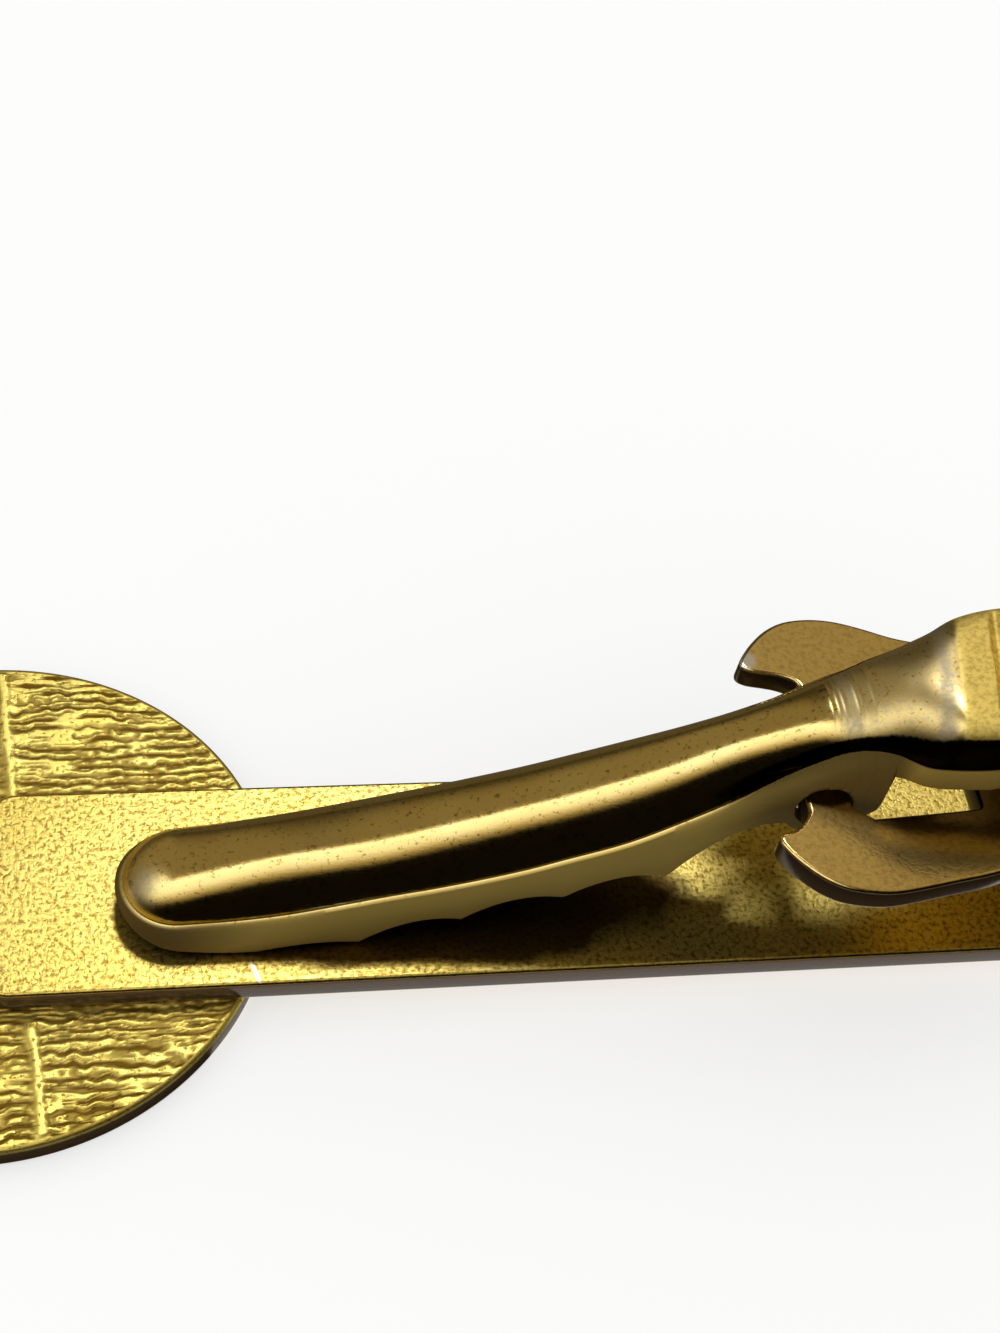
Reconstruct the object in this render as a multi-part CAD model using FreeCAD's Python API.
import FreeCAD, Part
import math
import os
from FreeCAD import Vector

# Tie clip lying on its front: a strip folded back on itself, a round disc
# soldered to the front of the strip, a sprung jaw and the jaw's leaf spring.
# The origin is on the front face of the disc. +X runs along the strip to
# the fold, +Z points out of the back, where the jaw is.

# Disc on the front of the strip.
DISC_DIAMETER = 14.6
DISC_THICK = 0.7
DISC_OFFSET = 0.5           # the disc's centre beside the strip's centre line
DISC_EDGE_ROUND = 0.15
RING_DIAMETER = 12.4        # turned groove on the front face, at mid width
RING_WIDTH = 0.5
RING_DEPTH = 0.15

# Strip, which is the bar, the fold and the horned yoke in one piece.
STRIP_SHEET = 0.7
BAR_WIDTH = 6.0
BAR_START = 0.1             # free end of the bar, from the disc's centre
BAR_CORNER = 0.6
FOLD_START = 27.0           # where the bar begins to turn back
FOLD_RADIUS = 2.1           # inside of the fold
YOKE_TILT = 2.7             # the yoke rises this much towards its horns

# Horned fork at the end of the yoke, from the pivot and the centre line.
PIVOT_FROM_FOLD = 6.45      # pivot to where the fold starts
HORN_TIP_AHEAD = 1.25       # horn tip beyond the pivot
HORN_TIP_OUT = 2.7
HORN_TIP_ROUND = 0.12
HORN_SPAN = 8.5             # over both horns, at the widest place
HORN_WIDE_BEHIND = 0.85     # widest place behind the pivot
SHOULDER_BEHIND = 3.5       # where the horn runs out into the taper
SHOULDER_OUT = 3.65
WINDOW_BEHIND = 3.8         # closed end of the window behind the pivot
WINDOW_END_WIDTH = 3.7
WINDOW_LUG_WIDTH = 4.25     # width of the window just behind the lugs
WINDOW_CORNER = 0.3
LUG_WIDTH = 1.1
LUG_ROOT_OUT = 1.78         # where the lug leaves the horn
LUG_BEYOND_WALL = 0.1       # how far the lug shows inside the jaw's wall

# Jaw, drawn from one sheet. Heights are above the bar or above the pivot.
JAW_SHEET = 0.4
JAW_WALL_HALF = 1.56        # outside of the side walls, from the middle
JAW_SKEW = 1.6              # the jaw sits a little askew on its lugs
TUBE_HALF = 1.38            # half width of the round top
TUBE_FLAT = 0.22            # nearly flat at the very top, half of it
NECK_HALF = 1.05
LEDGE = 0.1                 # small step between the round top and the wall
KNEE_DROP = 0.65            # the wall leans outwards for this height, then is upright
NOSE_CENTRE_AHEAD = 15.7    # centre of the round nose, ahead of the pivot
NOSE_CREST = 1.95           # top of the nose above the bar
NECK_AHEAD = 0.55
NECK_CREST = 1.98           # top of the neck above the pivot
TUBE_SAG = 0.69             # the tube bows down between nose and neck
TUBE_STATIONS = (0.0, 0.33, 0.66, 0.86, 1.0)    # shares of the way from nose to neck
NARROWS_FROM = 0.66         # share of the way where the tube begins to narrow
FLARE_RISE_SHARE = 0.55     # half way from neck to pad: share of the rise
FLARE_WIDTH_SHARE = 0.4     # and share of the widening
SHEET_AT_LEDGE = 0.75       # the inside of the ledge lies lower by this share of the sheet
PAD_BEHIND = 2.85           # thumb pad starts behind the pivot
PAD_LENGTH = 5.1
PAD_CREST = 3.3             # thumb pad above the pivot
PAD_HALF = 2.08
PAD_EDGE_ROUND = 0.5
PAD_CORNER = 0.9
GRIP_COUNT = 4
GRIP_PITCH = 0.95
GRIP_FROM_BEND = 1.2
GRIP_WIDTH = 0.36
GRIP_DEPTH = 0.12

# Lower edge of the jaw's walls.
REST_GAP = 0.05             # jaw above the bar when closed
TOOTH_COUNT = 4
TOOTH_PITCH = 2.57
TOOTH_RISE = 0.69           # each tooth tip is this much above the last
TOOTH_DEPTH = 0.38
FIRST_TOOTH_AHEAD = 11.25   # first tooth tip ahead of the pivot
FLAT_TOOTH_DEPTH = 0.15
RELIEF_AHEAD = 1.4          # end of the arch behind the last tooth
RELIEF_BELOW = 0.64
EAR_WALL = 0.36             # metal round the pivot hole
EAR_START_TURN = 215        # the ear's round edge, as angles about the pivot
EAR_END_TURN = 340
REAR_EDGE_RISE = 1.3        # rear wall's edge above the pivot
REAR_EDGE_START = 1.25
HEEL_BEHIND = 4.2           # heel that stops the jaw on the yoke
HEEL_RISE = 1.12
REAR_EDGE_END_RISE = 2.4

# Pivot fit and leaf spring.
PIVOT_CLEARANCE = 0.08
SPRING_SHEET = 0.25
SPRING_WIDTH = 2.1
SPRING_SEAT_GAP = 0.03
SPRING_BEND = 0.3           # bend radius at the lip, on the middle line
SPRING_LIP_DEPTH = 0.45
SPRING_LEG = 2.5
SPRING_HAIRPIN = 0.36       # hairpin radius on the middle line
SPRING_TOUCH_BEHIND = 4.2   # where the spring touches the jaw

# Places worked out from the sizes above.
bar_top = DISC_THICK + STRIP_SHEET
bar_half = BAR_WIDTH / 2
fold_centre_z = bar_top + FOLD_RADIUS
fold_outer = FOLD_RADIUS + STRIP_SHEET
pivot_x = FOLD_START - PIVOT_FROM_FOLD
tilt = math.radians(YOKE_TILT)
yoke_mid_radius = FOLD_RADIUS + STRIP_SHEET / 2


def yoke_height(x, radius):
    """Height of the yoke's face that runs on from the fold at this radius."""
    start_x = FOLD_START + radius * math.sin(tilt)
    start_z = fold_centre_z + radius * math.cos(tilt)
    return start_z + (start_x - x) * math.tan(tilt)


pivot_z = yoke_height(pivot_x, yoke_mid_radius)
lug_corner = math.hypot(LUG_WIDTH / 2, STRIP_SHEET / 2)
pivot_hole = lug_corner + PIVOT_CLEARANCE
jaw_inner_half = JAW_WALL_HALF - JAW_SHEET
nose_x = pivot_x - NOSE_CENTRE_AHEAD
neck_x = pivot_x - NECK_AHEAD
pad_x = pivot_x + PAD_BEHIND
pad_end = pad_x + PAD_LENGTH
window_end = pivot_x + WINDOW_BEHIND
spare = BAR_WIDTH


def line(a, b):
    return Part.LineSegment(a, b).toShape()


def arc(a, middle, b):
    return Part.Arc(a, middle, b).toShape()


def prism(edges, direction):
    return Part.Face(Part.Wire(edges)).extrude(direction)


def mirrored(shape):
    return shape.mirror(Vector(0, 0, 0), Vector(0, 1, 0))


def plan(x, y):
    return Vector(x, y, 0)


def side(x, z):
    return Vector(x, 0, z)


def corner_arc(corner, before, after, radius):
    """Round one corner: the two tangent points and the arc's middle."""
    to_before = (before - corner).normalize()
    to_after = (after - corner).normalize()
    half_angle = to_before.getAngle(to_after) / 2
    reach = radius / math.tan(half_angle)
    bisector = (to_before + to_after).normalize()
    centre = corner + bisector * (radius / math.sin(half_angle))
    return corner + to_before * reach, centre - bisector * radius, corner + to_after * reach


# Disc: a blanked round with softened edges and one turned groove in front.
def make_disc():
    centre = Vector(0, DISC_OFFSET, 0)
    disc = Part.makeCylinder(DISC_DIAMETER / 2, DISC_THICK, centre)
    rims = [edge for edge in disc.Edges if edge.Closed]
    disc = disc.makeFillet(DISC_EDGE_ROUND, rims)
    groove = Part.makeCylinder((RING_DIAMETER + RING_WIDTH) / 2, RING_DEPTH, centre)
    groove = groove.cut(Part.makeCylinder((RING_DIAMETER - RING_WIDTH) / 2, RING_DEPTH, centre))
    return disc.cut(groove)


# Strip seen from the side: bar, half-round fold and the yoke running back.
def strip_blank():
    horn_end = pivot_x - HORN_TIP_AHEAD - spare

    def fold_arc(radius):
        turn = math.pi - tilt
        start = side(FOLD_START, fold_centre_z - radius)
        middle = side(FOLD_START + radius * math.sin(turn / 2),
                      fold_centre_z - radius * math.cos(turn / 2))
        end = side(FOLD_START + radius * math.sin(turn), fold_centre_z - radius * math.cos(turn))
        return start, middle, end

    out_a, out_m, out_b = fold_arc(fold_outer)
    in_a, in_m, in_b = fold_arc(FOLD_RADIUS)
    out_end = side(horn_end, yoke_height(horn_end, fold_outer))
    in_end = side(horn_end, yoke_height(horn_end, FOLD_RADIUS))
    bar_low = side(BAR_START, DISC_THICK)
    bar_high = side(BAR_START, bar_top)
    edges = [line(bar_low, out_a), arc(out_a, out_m, out_b), line(out_b, out_end),
             line(out_end, in_end), line(in_end, in_b), arc(in_b, in_m, in_a),
             line(in_a, bar_high), line(bar_high, bar_low)]
    blank = prism(edges, Vector(0, HORN_SPAN + spare, 0))
    blank.translate(Vector(0, -(HORN_SPAN + spare) / 2, 0))
    return blank


# Bar seen from above: a plain strip with two rounded corners at its free end.
def bar_outline():
    fold_end = FOLD_START + fold_outer + spare
    near_corner = plan(BAR_START, -bar_half)
    far_corner = plan(BAR_START, bar_half)
    near_end = plan(fold_end, -bar_half)
    far_end = plan(fold_end, bar_half)
    n1, n2, n3 = corner_arc(near_corner, near_end, far_corner, BAR_CORNER)
    f1, f2, f3 = corner_arc(far_corner, near_corner, far_end, BAR_CORNER)
    edges = [line(near_end, n1), arc(n1, n2, n3), line(n3, f1), arc(f1, f2, f3),
             line(f3, far_end), line(far_end, near_end)]
    return prism(edges, Vector(0, 0, fold_centre_z))


# Half of the fork seen from above, with one horn and one lug.
def half_fork():
    fold_end = FOLD_START + fold_outer + spare
    horn_half = HORN_SPAN / 2
    tip_x = pivot_x - HORN_TIP_AHEAD
    wide_x = pivot_x + HORN_WIDE_BEHIND
    lug_front = pivot_x - LUG_WIDTH / 2
    lug_back = pivot_x + LUG_WIDTH / 2
    lug_end = jaw_inner_half - LUG_BEYOND_WALL

    shoulder = plan(pivot_x + SHOULDER_BEHIND, SHOULDER_OUT)
    widest = plan(wide_x, horn_half)
    rear_bulge = plan((shoulder.x + wide_x) / 2, (SHOULDER_OUT + 3 * horn_half) / 4)
    tip_outer = plan(tip_x, HORN_TIP_OUT + HORN_TIP_ROUND)
    # The horn's back is a quarter of an ellipse, drawn as two arcs.
    horn_reach = wide_x - tip_x
    horn_drop = horn_half - tip_outer.y

    def horn_point(turn):
        angle = math.radians(turn)
        return plan(wide_x - horn_reach * math.sin(angle), horn_half - horn_drop * (1 - math.cos(angle)))

    tip_nose = plan(tip_x - HORN_TIP_ROUND, HORN_TIP_OUT)
    tip_inner = plan(tip_x + HORN_TIP_ROUND, HORN_TIP_OUT - HORN_TIP_ROUND)
    lug_root = plan(lug_front, LUG_ROOT_OUT)
    hollow = plan((tip_inner.x + 2 * lug_front) / 3, (2 * tip_inner.y + LUG_ROOT_OUT) / 3)
    lug_a = plan(lug_front, lug_end)
    lug_b = plan(lug_back, lug_end)
    lug_out = plan(lug_back, LUG_ROOT_OUT)
    window_lug = plan(lug_back + LUG_WIDTH / 2, WINDOW_LUG_WIDTH / 2)
    window_far = plan(window_end, WINDOW_END_WIDTH / 2)
    window_mid = plan(window_end, 0)
    c1, c2, c3 = corner_arc(window_far, window_lug, window_mid, WINDOW_CORNER)
    edges = [line(plan(fold_end, 0), plan(fold_end, bar_half)),
             line(plan(fold_end, bar_half), plan(FOLD_START, bar_half)),
             line(plan(FOLD_START, bar_half), shoulder),
             arc(shoulder, rear_bulge, widest),
             arc(widest, horn_point(25), horn_point(50)),
             arc(horn_point(50), horn_point(70), tip_outer),
             arc(tip_outer, tip_nose, tip_inner),
             arc(tip_inner, hollow, lug_root),
             line(lug_root, lug_a),
             line(lug_a, lug_b),
             line(lug_b, lug_out),
             line(lug_out, window_lug),
             line(window_lug, c1),
             arc(c1, c2, c3),
             line(c3, window_mid),
             line(window_mid, plan(fold_end, 0))]
    return prism(edges, Vector(0, 0, pivot_z + spare - fold_centre_z))


def make_strip():
    fork = half_fork()
    fork = fork.fuse(mirrored(fork))
    fork.translate(Vector(0, 0, fold_centre_z))
    strip = strip_blank().common(bar_outline().fuse(fork)).removeSplitter()
    return strip.Solids[0]


# Jaw: one cross-section, used for the outside and, set in by the sheet, the inside.
def half_section(at, crest, top_half, top_round, wall_half, inset):
    """Corners and edges from the middle of the top down to the foot of one wall."""
    flat = top_half - top_round
    radius = top_round - inset
    bulge = radius * math.sqrt(0.5)
    spring_z = crest - top_round
    ledge_z = spring_z - LEDGE - inset * SHEET_AT_LEDGE
    top = at(flat, crest - inset)
    spring = at(flat + radius, spring_z)
    ledge = at(top_half + LEDGE - inset, ledge_z)
    knee = at(wall_half - inset, ledge_z - KNEE_DROP)
    foot = at(wall_half - inset, bar_top - spare)
    edges = [arc(top, at(flat + bulge, spring_z + bulge), spring), line(spring, ledge),
             line(ledge, knee), line(knee, foot)]
    return top, foot, edges


def jaw_section(x, crest, top_half, top_round, wall_half, inset):
    near_top, near_foot, near = half_section(lambda y, z: Vector(x, -y, z), crest, top_half,
                                             top_round, wall_half, inset)
    far_top, far_foot, far = half_section(lambda y, z: Vector(x, y, z), crest, top_half,
                                          top_round, wall_half, inset)
    return Part.Wire(near[::-1] + [line(near_top, far_top)] + far + [line(far_foot, near_foot)])


def jaw_nose(crest, inset):
    """Half of the first section, turned about the nose's upright axis."""
    def at(y, z):
        return Vector(nose_x, y, z)

    top, foot, edges = half_section(at, crest, TUBE_HALF, TUBE_HALF - TUBE_FLAT, JAW_WALL_HALF, inset)
    axis_top = at(0, top.z)
    axis_foot = at(0, foot.z)
    edges = [line(axis_top, top)] + edges + [line(foot, axis_foot), line(axis_foot, axis_top)]
    return Part.Face(Part.Wire(edges)).revolve(Vector(nose_x, 0, 0), Vector(0, 0, 1), 180)


def jaw_form(inset):
    """The jaw's filled form, set in by the given amount."""
    nose_top = bar_top + NOSE_CREST
    neck_top = pivot_z + NECK_CREST
    pad_top = pivot_z + PAD_CREST
    sections = []
    for share in TUBE_STATIONS:
        bow = 4 * share * (1 - share) * TUBE_SAG
        crest = nose_top + (neck_top - nose_top) * share - bow
        narrowing = max(0.0, share - NARROWS_FROM) / (1 - NARROWS_FROM)
        top_half = TUBE_HALF + (NECK_HALF - TUBE_HALF) * narrowing
        x = nose_x + (neck_x - nose_x) * share
        sections.append(jaw_section(x, crest, top_half, top_half - TUBE_FLAT, JAW_WALL_HALF, inset))

    def flare(start, end, share):
        return start + (end - start) * share

    sections.append(jaw_section(flare(neck_x, pad_x, 0.5),
                                flare(neck_top, pad_top, FLARE_RISE_SHARE),
                                flare(NECK_HALF, PAD_HALF, FLARE_WIDTH_SHARE),
                                flare(NECK_HALF - TUBE_FLAT, PAD_EDGE_ROUND, 0.5),
                                flare(JAW_WALL_HALF, PAD_HALF, FLARE_WIDTH_SHARE), inset))
    pad = jaw_section(pad_x, pad_top, PAD_HALF - LEDGE, PAD_EDGE_ROUND, PAD_HALF, inset)
    sections.append(pad)
    form = Part.makeLoft(sections, True, False)
    pad_block = Part.Face(pad).extrude(Vector(PAD_LENGTH + spare, 0, 0))
    return form.fuse([jaw_nose(nose_top, inset), pad_block])


# Everything below the jaw's toothed edge, as one cutter across both walls.
def below_jaw():
    first_x = pivot_x - FIRST_TOOTH_AHEAD
    first_z = bar_top + REST_GAP
    tips = [side(first_x - TOOTH_PITCH, first_z)]
    tips += [side(first_x + i * TOOTH_PITCH, first_z + i * TOOTH_RISE) for i in range(TOOTH_COUNT)]
    start = side(nose_x - spare, first_z)
    edges = [line(start, tips[0])]
    for i in range(len(tips) - 1):
        depth = FLAT_TOOTH_DEPTH if i == 0 else TOOTH_DEPTH
        chord = (tips[i + 1] - tips[i]).normalize()
        middle = (tips[i] + tips[i + 1]) * 0.5 + Vector(-chord.z, 0, chord.x) * depth
        edges.append(arc(tips[i], middle, tips[i + 1]))
    last = tips[-1]
    relief = side(pivot_x - RELIEF_AHEAD, pivot_z - RELIEF_BELOW)
    slope = (relief - last).normalize()
    relief_middle = (last + relief) * 0.5 + Vector(-slope.z, 0, slope.x) * TOOTH_DEPTH
    edges.append(arc(last, relief_middle, relief))
    ear_radius = pivot_hole + EAR_WALL

    def ear_point(turn):
        angle = math.radians(turn)
        return side(pivot_x + ear_radius * math.cos(angle), pivot_z + ear_radius * math.sin(angle))

    ear_start = ear_point(EAR_START_TURN)
    ear_end = ear_point(EAR_END_TURN)
    edges += [line(relief, ear_start), arc(ear_start, ear_point(270), ear_end)]
    end_z = pivot_z + REAR_EDGE_END_RISE
    low_z = bar_top - 2 * spare
    route = [ear_end,
             side(pivot_x + REAR_EDGE_START, pivot_z + REAR_EDGE_RISE),
             side(pivot_x + HEEL_BEHIND, pivot_z + HEEL_RISE),
             side(pad_end, end_z),
             side(pad_end + spare, end_z),
             side(pad_end + spare, low_z),
             side(nose_x - spare, low_z),
             start]
    edges += [line(a, b) for a, b in zip(route, route[1:])]
    cutter = prism(edges, Vector(0, 4 * spare, 0))
    cutter.translate(Vector(0, -2 * spare, 0))
    return cutter


def pad_end_outline():
    """Plan of the pad's free end with rounded corners, reaching far ahead."""
    ahead = nose_x - spare
    near = plan(pad_end, -PAD_HALF)
    far = plan(pad_end, PAD_HALF)
    wide_near = plan(ahead, -PAD_HALF)
    wide_far = plan(ahead, PAD_HALF)
    n1, n2, n3 = corner_arc(near, wide_near, far, PAD_CORNER)
    f1, f2, f3 = corner_arc(far, near, wide_far, PAD_CORNER)
    edges = [line(wide_near, n1), arc(n1, n2, n3), line(n3, f1), arc(f1, f2, f3),
             line(f3, wide_far), line(wide_far, wide_near)]
    return prism(edges, Vector(0, 0, pivot_z + PAD_CREST + spare))


def make_jaw():
    shell = jaw_form(0).cut(jaw_form(JAW_SHEET))
    shell = shell.cut(below_jaw()).common(pad_end_outline())
    axis = Vector(0, 1, 0)
    groove_radius = (GRIP_WIDTH ** 2 / 4 + GRIP_DEPTH ** 2) / (2 * GRIP_DEPTH)
    groove_z = pivot_z + PAD_CREST - GRIP_DEPTH + groove_radius
    for i in range(GRIP_COUNT):
        groove_start = Vector(pad_x + GRIP_FROM_BEND + i * GRIP_PITCH, -spare, groove_z)
        shell = shell.cut(Part.makeCylinder(groove_radius, 2 * spare, groove_start, axis))
    # The pivot holes stay square to the bar, so they are made after the jaw is set askew.
    shell.rotate(Vector(pivot_x, 0, 0), Vector(0, 0, 1), JAW_SKEW)
    hole_start = Vector(pivot_x, -spare, pivot_z)
    shell = shell.cut(Part.makeCylinder(pivot_hole, 2 * spare, hole_start, axis))
    return max(shell.Solids, key=lambda solid: solid.Volume)


# Leaf spring: a lip in the window, a leg on the yoke, a hairpin and a free leg.
def make_spring():
    seat = fold_outer + SPRING_SEAT_GAP + SPRING_SHEET / 2
    lip_x = window_end - SPRING_SEAT_GAP - SPRING_SHEET / 2
    along = Vector(math.cos(tilt), 0, -math.sin(tilt))
    normal = Vector(math.sin(tilt), 0, math.cos(tilt))
    bend = SPRING_BEND
    leg_start = side(lip_x, yoke_height(lip_x, seat)) + along * bend
    bend_centre = leg_start - normal * bend
    lip_top = bend_centre - along * bend
    bend_middle = bend_centre + (normal - along) * (bend * math.sqrt(0.5))
    lip_low = lip_top - normal * SPRING_LIP_DEPTH
    leg_end = leg_start + along * SPRING_LEG
    hairpin = leg_end + normal * SPRING_HAIRPIN

    roof = pivot_z + PAD_CREST - JAW_SHEET - SPRING_SEAT_GAP - SPRING_SHEET / 2
    touch = side(pivot_x + SPRING_TOUCH_BEHIND, roof)
    # The free leg leaves the hairpin as the tangent through the touching point.
    to_touch = touch - hairpin
    lean = math.acos(SPRING_HAIRPIN / to_touch.Length)
    heading = math.atan2(to_touch.z, to_touch.x) - lean
    leave = hairpin + side(math.cos(heading), math.sin(heading)) * SPRING_HAIRPIN
    middle_turn = (heading + math.atan2(-normal.z, -normal.x)) / 2
    hairpin_middle = hairpin + side(math.cos(middle_turn), math.sin(middle_turn)) * SPRING_HAIRPIN
    path = Part.Wire([line(lip_low, lip_top), arc(lip_top, bend_middle, leg_start),
                      line(leg_start, leg_end), arc(leg_end, hairpin_middle, leave),
                      line(leave, touch)])
    half_width = SPRING_WIDTH / 2
    half_sheet = SPRING_SHEET / 2
    corners = [lip_low + along * a + Vector(0, b, 0)
               for a, b in ((-half_sheet, -half_width), (half_sheet, -half_width),
                            (half_sheet, half_width), (-half_sheet, half_width))]
    section = Part.makePolygon(corners + corners[:1])
    return path.makePipeShell([section], True, False)


pieces = {
    "emblem_disc": make_disc(),
    "base_bar": make_strip(),
    "jaw": make_jaw(),
    "leaf_spring": make_spring(),
}
os.makedirs("parts", exist_ok=True)
for name, shape in pieces.items():
    shape.exportStep("parts/" + name + ".step")
    print(name, "valid", shape.isValid(), "solids", len(shape.Solids), "volume", round(shape.Volume, 2))
print("pivot", round(pivot_x, 3), round(pivot_z, 3), "bar top", bar_top, "hole radius", round(pivot_hole, 3))
